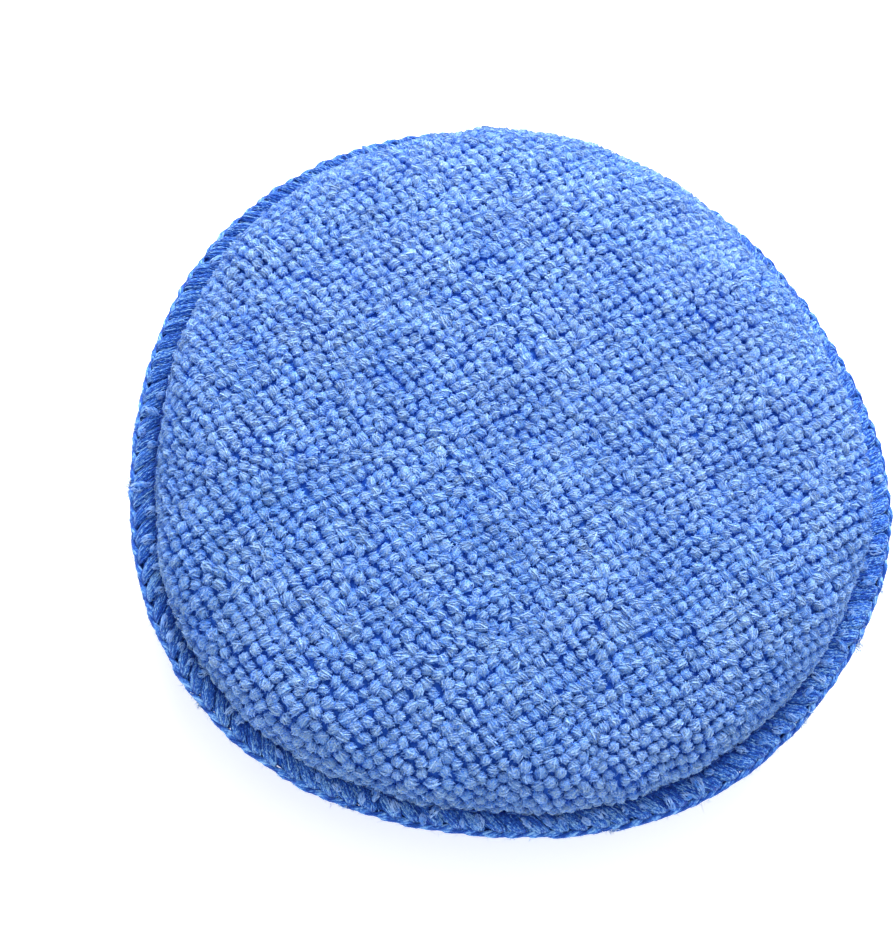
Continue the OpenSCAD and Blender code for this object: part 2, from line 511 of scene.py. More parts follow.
class Ground:
    """One cover's outer surface as a polar grid: distance from the middle along the cloth, and angle."""

    def __init__(self, side, seed):
        self.side = side
        line, self.s = even(meridian(PILE), 1.6)
        # The radius of a flat disc with as much cloth as the cover has inside each ring.
        ring = (line[1:, 0] + line[:-1, 0]) / 2 * np.diff(self.s)
        self.disc = np.sqrt(2 * np.concatenate([[0], np.cumsum(ring)]))
        phi = np.arange(SEGS) / SEGS * TAU
        r = line[1:, :1]
        z = line[1:, 1:]
        out = dome_out(phi, side)[None, :] * (r / DOME_R) ** 2
        low = np.clip(1 - z / (PAD_H / 2), 0, 1)
        up = side * seam_up(phi)[None, :] * low
        g = np.empty((len(line) - 1, SEGS, 3))
        g[..., 0] = (r + out) * np.cos(phi)
        g[..., 1] = (r + out) * np.sin(phi)
        g[..., 2] = z + up
        centre = np.array([[0, 0, line[0, 1]]])
        # The cloth is gathered where the seam draws it in, and dents and swells a little elsewhere.
        nrm = self.normals(g)
        flat = g[..., :2].reshape(-1, 2)
        soft = smooth_noise(g.reshape(-1, 3), 26.0, seed).reshape(g.shape[:2])
        s_from_hem = (self.s[-1] - self.s[1:])[:, None]
        gather = wobble(phi, {k: tuple(np.random.default_rng(seed + k).normal(size=2) * 0.16) for k in range(14, 40, 2)})
        fold = gather[None, :] * np.exp(-((s_from_hem / 9.0) ** 2)) * np.clip(s_from_hem / 2.5, 0.15, 1)
        edge = np.clip(s_from_hem / 10.0, 0, 1)
        g = g + nrm * (0.30 * soft * edge + 0.55 * fold)[..., None]
        del flat
        g, centre = self.inflate(g, centre, nrm, seed)
        self.grid = g
        self.centre = centre
        self.nrm = self.normals(g)

    @staticmethod
    def normals(g):
        ds = np.gradient(g, axis=0)
        dp = np.roll(g, -1, axis=1) - np.roll(g, 1, axis=1)
        n = np.cross(ds, dp)
        return n / (np.linalg.norm(n, axis=2, keepdims=True) + 1e-12)

    def inflate(self, g, centre, nrm, seed):
        """The cover, sewn down at the hem and blown out by its foam, as a cloth."""
        rings = len(g)
        r = np.random.default_rng(seed + 5)
        start = g - nrm * (0.9 + 0.12 * r.normal(size=g.shape[:2]))[..., None]
        hold = np.clip((self.s[-1] - self.s[1:]) / 4.0, 0, 1)[:, None, None]
        start = g * (1 - hold) + start * hold
        verts = np.concatenate([centre - [[0, 0, 0.9]], start.reshape(-1, 3)])
        idx = 1 + np.arange(rings * SEGS).reshape(rings, SEGS)
        nx = np.roll(idx, -1, axis=1)
        quads = np.stack([idx[:-1], idx[1:], nx[1:], nx[:-1]], -1).reshape(-1, 4)
        tris = np.stack([np.zeros(SEGS, int), idx[0], nx[0]], -1)
        me = bpy.data.meshes.new("cloth_try")
        me.from_pydata((verts * MM).tolist(), [], tris.tolist() + quads.tolist())
        ob = bpy.data.objects.new("cloth_try", me)
        bpy.context.scene.collection.objects.link(ob)
        grp = ob.vertex_groups.new(name="hem")
        grp.add([int(i) for i in idx[-2:].ravel()], 1.0, "REPLACE")
        mod = ob.modifiers.new("cloth", "CLOTH")
        c = mod.settings
        c.quality = 6
        c.mass = 0.2
        c.tension_stiffness = c.compression_stiffness = 12
        c.shear_stiffness = 6
        c.bending_stiffness = 0.8
        c.use_pressure = True
        c.uniform_pressure_force = 4
        c.vertex_group_mass = "hem"
        c.effector_weights.gravity = 0
        mod.collision_settings.use_collision = False
        scene = bpy.context.scene
        mod.point_cache.frame_start, mod.point_cache.frame_end = 1, 20
        for f in range(1, 21):
            scene.frame_set(f)
        dg = bpy.context.evaluated_depsgraph_get()
        em = ob.evaluated_get(dg).to_mesh()
        got = np.empty(len(verts) * 3, np.float32)
        em.vertices.foreach_get("co", got)
        got = got.reshape(-1, 3).astype(float) / MM
        ob.evaluated_get(dg).to_mesh_clear()
        bpy.data.objects.remove(ob)
        bpy.data.meshes.remove(me)
        scene.frame_set(1)
        # The foam sets the cover's size, so only the cloth's own swells and gathers are kept.
        rise = ((got[1:].reshape(rings, SEGS, 3) - g) * nrm).sum(2)
        wide = rise
        for _ in range(3):
            pad = np.concatenate([wide[2:0:-1], wide, wide[-2:-4:-1]])
            wide = sum(pad[i:i + rings] for i in range(5)) / 5
            wide = sum(np.roll(wide, i, axis=1) for i in range(-4, 5)) / 9
        fine = (rise - wide) * hold[..., 0]
        fine *= 0.24 / max(0.24, 2.5 * float(fine.std()))
        fine = fine.clip(-0.7, 0.7)
        print("cloth moved, mm: mean %.2f, kept %.2f, most kept %.2f" % (rise.mean(), fine.std(), abs(fine).max()))
        return g + nrm * fine[..., None], centre

    def at(self, s, phi):
        """Points, outward normals, and the directions along and round the cloth."""
        g, nr = self.grid, self.nrm
        i = np.clip(np.searchsorted(self.s[1:], s) - 1, 0, len(g) - 2)
        t = np.clip((s - self.s[1:][i]) / (self.s[1:][i + 1] - self.s[1:][i]), -1, 1)[:, None]
        j = (phi % TAU) / TAU * SEGS
        j0 = np.floor(j).astype(int) % SEGS
        j1 = (j0 + 1) % SEGS
        w = (j - np.floor(j))[:, None]

        def pick(a):
            return (a[i, j0] * (1 - w) + a[i, j1] * w) * (1 - t) + (a[i + 1, j0] * (1 - w) + a[i + 1, j1] * w) * t

        p, n = pick(g), pick(nr)
        n /= np.linalg.norm(n, axis=1, keepdims=True)
        radial = np.stack([np.cos(phi), np.sin(phi), np.zeros_like(phi)], 1)
        around = np.stack([-np.sin(phi), np.cos(phi), np.zeros_like(phi)], 1)
        e2 = around - n * (around * n).sum(1, keepdims=True)
        e2 /= np.linalg.norm(e2, axis=1, keepdims=True)
        e1 = np.cross(e2, n)
        del radial
        return p, n, e1, e2


front = Ground(+1, 11)
back = Ground(-1, 29)


def cover_mesh(name, gr):
    """The knitted cloth itself: outer face, hem out to the stitched edge, and inner face, closed."""
    phi = np.arange(SEGS) / SEGS * TAU
    cs = np.stack([np.cos(phi), np.sin(phi)], 1)

    def ring(r, z):
        out = np.empty((SEGS, 3))
        out[:, :2] = cs * r[:, None]
        out[:, 2] = z
        return out

    up = gr.side * seam_up(phi)
    edge = EDGE_R - 1.5 + edge_out(phi)
    foot = np.hypot(gr.grid[-1, :, 0], gr.grid[-1, :, 1])
    fill = np.minimum(1, np.arange(len(gr.grid))[::-1] / 3.0)[:, None, None]
    outer = list(gr.grid + gr.nrm * 0.45 * fill)
    for t in (0.1, 0.35, 0.65, 0.9, 1.0):
        h = 0.9 + 0.12 * math.sin(math.pi * t)
        outer.append(ring(foot + (edge - foot) * t, up + (h if t < 1 else 0.6)))
    outer.append(ring(edge, up + 0.12))
    inner = [ring(edge + (foot - edge) * t, up + 0.10) for t in (0.5, 1.0)]
    shell = gr.grid - gr.nrm * 1.1
    keep = [i for i in range(len(shell) - 4, 0, -3)]
    for i in keep:
        inner.append(shell[i])
    rings = np.array(outer + inner)
    n = len(rings)
    verts = np.concatenate([gr.centre, rings.reshape(-1, 3), gr.centre - [[0, 0, 1.1]]])
    idx = 1 + np.arange(n * SEGS).reshape(n, SEGS)
    nx = np.roll(idx, -1, axis=1)
    quads = np.stack([idx[:-1], idx[1:], nx[1:], nx[:-1]], -1).reshape(-1, 4)
    last = len(verts) - 1
    tris = np.concatenate([
        np.stack([np.zeros(SEGS, int), idx[0], nx[0]], -1),
        np.stack([np.full(SEGS, last), nx[-1], idx[-1]], -1),
    ])
    # The bake's layout is polar: the outside fills most of the sheet, the inside a corner of it.
    rad = np.linspace(0.0, 1.0, n + 1)[1:]

    def flat(i, j):
        a = j / SEGS * TAU
        return np.stack([0.5 + 0.48 * rad[i] * np.cos(a), 0.5 + 0.48 * rad[i] * np.sin(a)], -1)

    ii, jj = np.meshgrid(np.arange(n - 1), np.arange(SEGS), indexing="ij")
    ii, jj = ii.ravel(), jj.ravel()
    uvq = np.stack([flat(ii, jj), flat(ii + 1, jj), flat(ii + 1, jj + 1), flat(ii, jj + 1)], 1)
    j = np.arange(SEGS)
    mid = np.full((SEGS, 2), 0.5)
    z0 = np.zeros(SEGS, int)
    uvt = np.concatenate([
        np.stack([mid, flat(z0, j), flat(z0, j + 1)], 1),
        np.stack([np.full((SEGS, 2), 0.99)] * 3, 1),
    ])
    v = placed(verts, gr.side)
    parts = [
        (v, wound(quads, gr.side), {"OFBake": uvq if gr.side > 0 else uvq[:, ::-1]}, {}),
        (np.zeros((0, 3)), wound(tris, gr.side) - len(v), {"OFBake": uvt if gr.side > 0 else uvt[:, ::-1]}, {}),
    ]
    ob = make(name, parts, GROUND_MAT, "back", soft=True)
    return ob


front_cloth = cover_mesh("front_cover_cloth", front)
back_cloth = cover_mesh("back_cover_cloth", back)
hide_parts("front_cover")
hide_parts("back_cover")


# ---------------------------------------------------------------- the looped pile
STEPS = 6


def tufts(p, n, e1, e2, turn, rng, tall, size, rnd, side, fils, long=1.0, heart=True):
    """One fluffy loop of split yarn at each point: crimped filaments arching over a soft heart.

    Returns the parts of their mesh, with the hearts and the outward directions for stray fibres."""
    c = len(p)
    lean = rng.normal(0, 0.13, (c, 2)) + np.array([0.05, -0.08])
    up = n + lean[:, :1] * e1 + lean[:, 1:] * e2
    up /= np.linalg.norm(up, axis=1, keepdims=True)
    ax = np.cos(turn)[:, None] * e1 + np.sin(turn)[:, None] * e2
    ax -= up * (ax * up).sum(1, keepdims=True)
    ax /= np.linalg.norm(ax, axis=1, keepdims=True)
    across = np.cross(up, ax)
    a = (1.03 + 0.12 * rng.normal(size=c)).clip(0.8, 1.35) * size * long
    b = (0.92 + 0.09 * rng.normal(size=c)).clip(0.72, 1.12) * size
    h = 0.90 * tall
    centre = p + up * ((PILE - 0.90) * tall)[:, None]
    # The filaments: each arches over, at its own place across the loop, and drifts with the twist.
    psi = np.linspace(-1.22, 1.22, fils)[None] + rng.normal(0, 0.11, (c, fils))
    twist = rng.normal(0.8, 0.45, (c, 1, 1))
    th = np.linspace(-0.6, math.pi + 0.6, STEPS)[None, None] + rng.normal(0, 0.14, (c, fils, STEPS))
    psi = psi[..., None] + twist * (th / math.pi - 0.5) + rng.normal(0, 0.14, th.shape)
    rad = 1.0 + 0.06 * rng.normal(size=(c, fils, 1)) + 0.065 * rng.normal(size=th.shape)
    x = a[:, None, None] * np.cos(th) * np.cos(psi) * rad
    y = b[:, None, None] * np.sin(psi) * rad
    z = h[:, None, None] * np.sin(th) * np.cos(psi) * rad
    ends = np.abs(th / math.pi - 0.5) > 0.58
    y = np.where(ends, y * 0.75, y)
    # They don't all run the same way.
    skew = rng.normal(0, 0.42, (c, fils, 1))
    x, y = x * np.cos(skew) - y * np.sin(skew) * a[:, None, None] / b[:, None, None], x * np.sin(skew) * b[:, None, None] / a[:, None, None] + y * np.cos(skew)
    off = x[..., None] * ax[:, None, None] + y[..., None] * across[:, None, None] + z[..., None] * up[:, None, None]
    pts = centre[:, None, None] + off
    high = ((pts - p[:, None, None]) * n[:, None, None]).sum(-1) / PILE
    tone = (rnd[:, None] + 0.28 * rng.normal(size=(c, fils))).clip(0, 1.2)
    thick = 0.112 * size[:, None, None] * (1 + 0.15 * rng.normal(size=(c, fils, 1))) * (1 + 0.12 * rng.normal(size=th.shape))
    flip = np.array([1, 1, side])
    k = c * fils
    hair = tubes(
        placed(pts.reshape(k, STEPS, 3), side), thick.reshape(k, STEPS).clip(0.06, 0.2), 3, (off * flip).reshape(k, STEPS, 3),
        values={"pile_h": high.clip(0, 1.15), "pile_rnd": np.repeat(tone[..., None], STEPS, axis=2)},
    )
    if not heart:
        return hair, pts, off
    # The soft heart that the filaments lie on.
    lat, lon = np.array([-1.0, -0.35, 0.35, 0.95]), np.arange(8) / 8 * TAU
    ring = np.stack([
        np.cos(lat)[:, None] * np.cos(lon)[None], np.cos(lat)[:, None] * np.sin(lon)[None],
        np.sin(lat)[:, None] * np.ones(8)[None],
    ], -1)
    ball = np.concatenate([[[0, 0, -1.0]], ring.reshape(-1, 3), [[0, 0, 1.0]]])[None] * (1 + 0.065 * rng.normal(size=(c, 34, 1)))
    ball = ball * 0.955
    v = centre[:, None] + ball[..., :1] * (a[:, None, None] * ax[:, None]) + ball[..., 1:2] * (b[:, None, None] * across[:, None]) + ball[..., 2:] * (h[:, None, None] * up[:, None])
    deep = ((v - p[:, None]) * n[:, None]).sum(-1) / PILE * 0.9
    idx = 1 + np.arange(32).reshape(4, 8)
    nx = np.roll(idx, -1, axis=1)
    quads = np.stack([idx[:-1], nx[:-1], nx[1:], idx[1:]], -1).reshape(-1, 4)
    caps = np.concatenate([
        np.stack([np.zeros(8, int), nx[0], idx[0]], -1),
        np.stack([np.full(8, 33), idx[3], nx[3]], -1),
    ])
    low, tile = cells(c)
    m = np.arange(8)

    def flat(i, j):
        return np.stack([0.08 + 0.84 * j / 8, 0.08 + 0.84 * (i + 1) / 5], -1)

    qi, qj = np.meshgrid(np.arange(3), m, indexing="ij")
    qi, qj = qi.ravel(), qj.ravel()
    uvq = np.stack([flat(qi, qj), flat(qi, qj + 1), flat(qi + 1, qj + 1), flat(qi + 1, qj)], 1)
    low_i, top_i = np.full(8, -1), np.full(8, 4)
    uvc = np.concatenate([
        np.stack([flat(low_i, m + 0.5), flat(low_i + 1, m + 1), flat(low_i + 1, m)], 1),
        np.stack([flat(top_i, m + 0.5), flat(top_i - 1, m), flat(top_i - 1, m + 1)], 1),
    ])
    base = (np.arange(c) * 34)[:, None, None]
    jump = np.random.default_rng(c).uniform(0, 300, (c, 1, 1, 2))

    def spread(faces, uv):
        f = (faces[None] + base).reshape(-1, faces.shape[1])
        bake = (low[:, None, None] + tile * uv[None]).reshape(len(f), -1, 2)
        fib = (uv[None] * 5.0 + jump).reshape(len(f), -1, 2)
        if side < 0:
            f, bake, fib = f[:, ::-1], bake[:, ::-1], fib[:, ::-1]
        return f, bake, fib

    fq, bq, iq = spread(quads, uvq)
    fc, bc, ic = spread(caps, uvc)
    held = {"pile_h": deep.reshape(-1).clip(0, 1), "pile_rnd": np.repeat(rnd * 0.9, 34), "_smooth": True}
    flatv = placed(v.reshape(-1, 3), side)
    hearts = [
        (flatv, fq, {"OFBake": bq, "Fibre": iq}, held),
        (np.zeros((0, 3)), fc - len(flatv), {"OFBake": bc, "Fibre": ic}, {"_smooth": True}),
    ]
    return joined(hair, hearts), pts, off


def spikes(base, direction, length, width, rng):
    """Fine fibres, each a slim closed spike."""
    c = len(base)
    d = direction / np.linalg.norm(direction, axis=1, keepdims=True)
    ref = rng.normal(size=(c, 3))
    a = np.cross(d, ref)
    a /= np.linalg.norm(a, axis=1, keepdims=True)
    b = np.cross(d, a)
    ang = np.arange(3) / 3 * TAU
    ring = np.cos(ang)[None, :, None] * a[:, None] + np.sin(ang)[None, :, None] * b[:, None]
    lower = base[:, None] + ring * width[:, None, None]
    tip = (base + d * length[:, None])[:, None]
    v = np.concatenate([lower, tip], 1)  # c, 4, 3
    i = np.arange(c)[:, None] * 4
    t = np.concatenate([i + np.array([[k, (k + 1) % 3, 3]]) for k in range(3)] + [i + np.array([[2, 1, 0]])])
    return v.reshape(-1, 3), t


def spike_parts(base, direction, length, width, rng, rnd, height=1.0):
    v, t = spikes(base, direction, length, width, rng)
    c = len(base)
    low, tile = cells(c)
    corner = np.array([[0.1, 0.1], [0.9, 0.1], [0.5, 0.9]])
    bake = low[t[:, 0] // 4][:, None] + tile * corner[None]
    fib = np.repeat((t[:, :1] // 4 * 3.7)[:, None], 3, axis=1).repeat(2, axis=2)
    values = {"pile_h": np.full(len(v), height), "pile_rnd": np.repeat(rnd, 4), "tone": np.repeat(rnd, 4)}
    return [(v, t, {"OFBake": bake, "Fibre": fib}, values)]


def apart(gr, s, phi, room, rounds, last):
    """Eases loops that stand nearer than room away from each other, along the cloth; also how far off
    each one's neighbours end up."""

    def tree_of(p):
        tree = KDTree(len(p))
        for i, co in enumerate(p):
            tree.insert(co, i)
        tree.balance()
        return tree

    for _ in range(rounds):
        p, _, e1, e2 = gr.at(s, phi)
        tree = tree_of(p)
        move = np.zeros_like(p)
        for i, at in enumerate(p):
            for co, j, d in tree.find_range(at, room):
                if j != i and d > 1e-6:
                    move[i] += (at - np.array(co)) * ((room - d) / d * 0.225)
        out, round_ = (move * e1).sum(1), (move * e2).sum(1) * s / np.maximum(np.hypot(p[:, 0], p[:, 1]), 0.3)
        x = (s + out) * np.cos(phi) - round_ * np.sin(phi)
        y = (s + out) * np.sin(phi) + round_ * np.cos(phi)
        s, phi = np.hypot(x, y).clip(0.02, last), np.arctan2(y, x) % TAU
    p = gr.at(s, phi)[0]
    tree = tree_of(p)
    near = np.array([np.mean([d for _, _, d in tree.find_n(at, 6)[1:]]) for at in p])
    return s, phi, near


def spots(gr, s, phi, reach, gap):
    """Places on the cloth that are further than gap from every loop, and from each other."""
    p = gr.at(s, phi)[0]
    tree = KDTree(len(p))
    for i, co in enumerate(p):
        tree.insert(co, i)
    tree.balance()
    t = np.arange(-reach, reach, 0.45)
    uv = np.stack(np.meshgrid(t, t), -1).reshape(-1, 2)
    uv = uv[np.hypot(uv[:, 0], uv[:, 1]) < reach]
    at_s, at_phi = np.interp(np.hypot(uv[:, 0], uv[:, 1]), gr.disc, gr.s), np.arctan2(uv[:, 1], uv[:, 0]) % TAU
    q = gr.at(at_s, at_phi)[0]
    far = np.array([tree.find(co)[2] for co in q])
    chosen = []
    for i in np.argsort(-far):
        if far[i] < gap:
            break
        if all(np.linalg.norm(q[i] - q[j]) > 1.5 for j in chosen):
            chosen.append(i)
    print("bare spots filled:", len(chosen))
    return uv[chosen], at_s[chosen], at_phi[chosen]


def pile(name, gr, seed, fils, sectors):
    rng = np.random.default_rng(seed)
    a1 = 1.93 * np.array([math.cos(math.radians(52)), math.sin(math.radians(52))])
    a2 = 1.83 * np.array([math.cos(math.radians(-33)), math.sin(math.radians(-33))])
    reach = gr.disc[-1] - 0.6
    k = np.arange(-60, 61)
    gi, gj = np.meshgrid(k, k, indexing="ij")
    uv = gi.reshape(-1, 1) * a1 + gj.reshape(-1, 1) * a2
    # The knit's rows wander a little.
    uv = uv + 0.26 * np.stack([smooth_noise(uv, 24.0, seed + 1), smooth_noise(uv, 24.0, seed + 2)], 1)
    uv = uv + rng.normal(0, 0.22, uv.shape)
    uv = uv[np.hypot(uv[:, 0], uv[:, 1]) < reach]
    phi = np.arctan2(uv[:, 1], uv[:, 0]) % TAU
    order = np.argsort(phi)
    uv, phi = uv[order], phi[order]
    last = float(np.interp(reach, gr.disc, gr.s))
    s, phi, room = apart(gr, np.interp(np.hypot(uv[:, 0], uv[:, 1]), gr.disc, gr.s), phi, 2.06, 9, last)
    # A loop goes in wherever the rows have left a bare spot.
    bare, at_s, at_phi = spots(gr, s, phi, reach - 0.8, 1.40)
    uv, s, phi = np.concatenate([uv, bare]), np.concatenate([s, at_s]), np.concatenate([phi, at_phi])
    s, phi, room = apart(gr, s, phi, 2.04, 4, last)
    order = np.argsort(phi)
    uv, s, phi, room = uv[order], s[order], phi[order], room[order]
    p, n, e1, e2 = gr.at(s, phi)
    way = math.radians(38) + 0.30 * smooth_noise(uv, 14.0, seed + 3) + rng.normal(0, 0.65, len(s))
    turn = way - phi
    area = smooth_noise(uv, 22.0, seed + 4)
    tall = (1.0 + 0.03 * area + rng.normal(0, 0.055, len(s))).clip(0.80, 1.16)
    size = (room / 1.86 * rng.normal(1.0, 0.06, len(s))).clip(0.82, 1.30)
    # Each loop's tone differs at random; painted shade makes the loops down in the crease by the hem darker.
    rnd = (0.5 + 0.10 * rng.normal(size=len(s)) + 0.05 * area - 0.50 * np.exp(-(((last - s) / 2.5) ** 2))).clip(0, 1)
    pieces = []
    tips, aways = [], []
    for k in range(sectors):
        part = slice(k * len(s) // sectors, (k + 1) * len(s) // sectors)
        got, pts, off = tufts(p[part], n[part], e1[part], e2[part], turn[part], rng, tall[part], size[part], rnd[part], gr.side, fils)
        pieces.append(make("%s_%d" % (name, k), got, PILE_MAT, "back", soft=True, smooth=False))
        tips.append(pts)
        aways.append(off)
    # Split fibres standing off the loops.
    tips, aways = np.concatenate(tips), np.concatenate(aways)
    per = 27 if gr.side > 0 else 9
    c = len(s) * per
    who = np.repeat(np.arange(len(s)), per)
    which, step = rng.integers(0, fils, c), rng.integers(1, STEPS - 1, c)
    base, out = tips[who, which, step], aways[who, which, step]
    out = out / np.linalg.norm(out, axis=1, keepdims=True)
    d = out + 0.6 * rng.normal(size=(c, 3))
    length = np.where(rng.random(c) < 0.05, rng.uniform(0.55, 1.05, c), rng.uniform(0.20, 0.50, c))
    width = rng.uniform(0.030, 0.052, c)
    for k in range(3):
        some = slice(k * c // 3, (k + 1) * c // 3)
        parts = spike_parts(placed(base[some], gr.side), d[some] * np.array([1, 1, gr.side]), length[some], width[some], rng, (rnd[who[some]] + 0.25).clip(0, 1))
        pieces.append(make("%s_fibres_%d" % (name, k), parts, FIBRE_MAT, "back", soft=True, smooth=False))
    for ob in pieces:
        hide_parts("front_cover" if gr.side > 0 else "back_cover")
    print(name, len(s), "loops")
    return pieces


pile("front_pile", front, 101, 14, 16)
pile("back_pile", back, 202, 7, 8)


# ---------------------------------------------------------------- the overlocked edge
def hem_point(phi, w, h, side=1):
    """A point on the hem: w from 0 at the needle line to 1 at the edge, h above the middle."""
    inner = FOOT_R + 0.9 + 0.8 * dome_out(phi, side)
    outer = EDGE_R - 0.9 + edge_out(phi)
    r = inner + (outer - inner) * w
    return np.stack([r * np.cos(phi), r * np.sin(phi), h + side * seam_up(phi)], -1)


PITCH = TAU / STITCHES


def bands(first, last, side, seed):
    """A looper thread's bands across one side of the hem: each a spread bundle of crimped filaments."""
    rng = np.random.default_rng(seed)
    fil, steps = 27, 12
    count = last - first
    at = (np.arange(first, last) + rng.normal(0, 0.05, count)) * PITCH
    t = np.linspace(0, 1, steps)
    across = np.concatenate([np.linspace(-1, 1, 15), np.linspace(-0.85, 0.85, 12)])
    layer = np.concatenate([np.zeros(15), np.ones(12)])
    w = -0.06 + 1.08 * t  # from under the needle thread to over the edge
    # Spread wide on the cloth, drawn together where it turns into the chain.
    wide = (0.52 - 0.02 * t - 0.22 * np.clip((t - 0.66) / 0.34, 0, 1) ** 1.4) * PITCH
    slant = 0.95 + 0.07 * rng.normal(size=count)
    crimp = rng.normal(0, 0.036, (count, fil, steps)) * PITCH
    wander = rng.normal(0, 0.05, (count, fil, 1)) * PITCH
    middle = at[:, None] + slant[:, None] * t[None] * PITCH
    phi = middle[:, None] + across[None, :, None] * wide[None, None, :] + crimp + wander
    arch = np.clip(1 - across**2, 0, 1) ** 0.5
    puff = 1 + 0.10 * rng.normal(size=count)
    rise = 0.45 + 0.75 * np.sin(math.pi * (0.12 + 0.80 * t)) ** 0.8
    body = rise[None, :] * arch[:, None]
    h = 0.92 + body[None] * puff[:, None, None] * 0.80 + layer[None, :, None] * 0.08 + rng.normal(0, 0.045, (count, fil, steps))
    turn = np.clip((t - 0.86) / 0.14, 0, 1)
    h = h - turn[None, None] ** 1.6 * 0.95
    ww = np.broadcast_to(w[None, None, :], phi.shape)
    pts = hem_point(phi * 1.0, ww, h, side)
    # Local up for the tubes' rings.
    up = np.zeros_like(pts)
    up[..., 2] = 1
    radius = np.full(phi.shape, 0.118) * rng.uniform(0.8, 1.25, (count, fil, 1))
    n = count * fil
    # Each filament's tone differs at random; painted shade makes the bands darker near the needle line, in the crease.
    hair = tubes(
        placed(pts.reshape(n, steps, 3), side),
        radius.reshape(n, steps),
        3,
        up.reshape(n, steps, 3) * side,
        values={"tone": rng.uniform(0, 1, (n, 1)) - 0.7 * np.exp(-((w / 0.16) ** 2))[None]},
    )
    # The bundle's own body under them.
    m, k = 8, len(t)
    ang = np.arange(m) / m * TAU
    high = 0.92 + (rise[None] * puff[:, None] * 0.80 - 0.10) * 0.5 - turn[None] ** 1.6 * 0.8
    tall = (rise[None] * puff[:, None] * 0.80 - 0.10) * 0.5 + 0.10
    cphi = middle[..., None] + 0.90 * wide[None, :, None] * np.cos(ang)
    ch = high[..., None] + tall[..., None] * np.sin(ang)
    core = placed(hem_point(cphi, np.broadcast_to(w[None, :, None], cphi.shape), ch, side), side)
    idx = np.arange(count * k * m).reshape(count, k, m)
    nx = np.roll(idx, -1, axis=2)
    quads = np.stack([idx[:, :-1], idx[:, 1:], nx[:, 1:], nx[:, :-1]], -1).reshape(-1, 4)
    caps = np.concatenate([idx[:, 0, :], idx[:, -1, ::-1]])
    low, tile = cells(count)
    a = np.stack([np.arange(k - 1), np.arange(1, k), np.arange(1, k), np.arange(k - 1)], -1)[:, None] / (k - 1)
    b = np.stack([np.arange(m), np.arange(m), np.arange(1, m + 1), np.arange(1, m + 1)], -1)[None] / m
    local = np.stack(np.broadcast_arrays(a, b), -1)
    bake = (low[:, None, None, None] + tile * (0.05 + 0.9 * local[None])).reshape(-1, 4, 2)
    fib = ((local[None] + low[:, None, None, None] * 31) * 4).reshape(-1, 4, 2)
    capuv = np.repeat(np.concatenate([low, low])[:, None] + tile * 0.02, m, axis=1)
    flat = core.reshape(-1, 3)
    if side < 0:
        quads, bake, fib, caps = quads[:, ::-1], bake[:, ::-1], fib[:, ::-1], caps[:, ::-1]
    body_parts = [
        (flat, quads, {"OFBake": bake, "Fibre": fib}, {"tone": np.full(len(flat), 0.25)}),
        (np.zeros((0, 3)), caps - len(flat), {"OFBake": capuv}, {}),
    ]
    return joined(hair, body_parts)


def chain(side, seed):
    """A looper thread's share of the chain along the edge: one strand of a two-strand rope."""
    rng = np.random.default_rng(seed)
    fil, per = 7, 10
    k = STITCHES * per + 1
    t = np.arange(k) / (k - 1)
    phi = t * TAU
    # Each strand goes once round the other in two stitches.
    turn = phi * STITCHES / 2 + (0 if side > 0 else math.pi)
    loose = 1 + 0.10 * wobble(phi, {m: tuple(np.random.default_rng(seed + m).normal(size=2) * 0.5) for m in (17, 23, 31, 41)})
    cr = EDGE_R - 0.75 + edge_out(phi) + 0.05 * wobble(phi, {m: tuple(np.random.default_rng(seed + 9 + m).normal(size=2)) for m in (13, 29, 37)})
    ch = seam_up(phi)
    r = cr + 0.22 * np.cos(turn) * loose
    h = ch + 0.50 * np.sin(turn) * loose
    centre = np.stack([r * np.cos(phi), r * np.sin(phi), h], 1)
    tan = np.gradient(centre, axis=0)
    tan[0] = tan[-1] = centre[1] - centre[-2]
    tan /= np.linalg.norm(tan, axis=1, keepdims=True)
    ref = np.array([[0, 0, 1.0]])
    b = np.cross(tan, ref)
    b /= np.linalg.norm(b, axis=1, keepdims=True)
    u = np.cross(b, tan)
    spots = [(0, 0)] + [(math.cos(a), math.sin(a)) for a in np.arange(6) / 6 * TAU]
    paths = []
    tw = round(STITCHES * 0.45)
    for a, c in spots:
        ang = phi * tw
        swell = 0.22 + 0.12 * np.sin(turn) ** 2
        x = (a * np.cos(ang) - c * np.sin(ang)) * swell
        y = (a * np.sin(ang) + c * np.cos(ang)) * swell
        nz = rng.normal(0, 0.02, (k, 2))
        nz[-1] = nz[0]
        paths.append(centre + b * (x + nz[:, 0])[:, None] + u * (y + nz[:, 1])[:, None])
    paths = np.array(paths)
    paths[:, -1] = paths[:, 0]
    paths[..., 2] += SEAM_Z
    ups = np.zeros_like(paths)
    ups[..., 2] = 1
    own = rng.uniform(0.0, 0.9, (len(paths), 1)) + 0.9 * (np.sin(turn) ** 2 - 0.75)[None]
    return tubes(paths, np.repeat((0.14 + 0.045 * np.sin(turn) ** 2)[None], len(paths), axis=0), 5, ups, chunk=per, ends=False, values={"tone": own})


